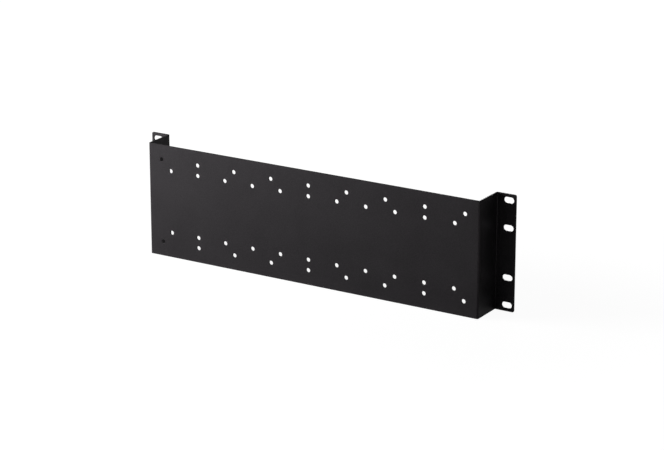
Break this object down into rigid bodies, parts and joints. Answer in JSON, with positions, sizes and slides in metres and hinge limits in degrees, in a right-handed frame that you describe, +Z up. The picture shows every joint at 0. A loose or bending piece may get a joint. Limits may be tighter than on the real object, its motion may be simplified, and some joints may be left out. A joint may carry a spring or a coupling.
{
  "type": "rack mount bracket",
  "caption": "Rack bracket folded from black sheet metal: a punched panel for small monitors, stood forward of slotted ears that screw to a 19 inch rack.",
  "frame": {"origin": "middle of the rack face: the plane of the ears' backs, in the centre of their slots", "axes": "+X along the rack, to the right seen from the front; +Y from the front into the rack; +Z up"},
  "size_m": [0.483, 0.0412, 0.135],
  "materials": {
    "black_powder_coat": "fine satin black powder coat"
  },
  "bodies": {
    "root": {"rack_bracket": "black_powder_coat"}
  },
  "joints": []
}
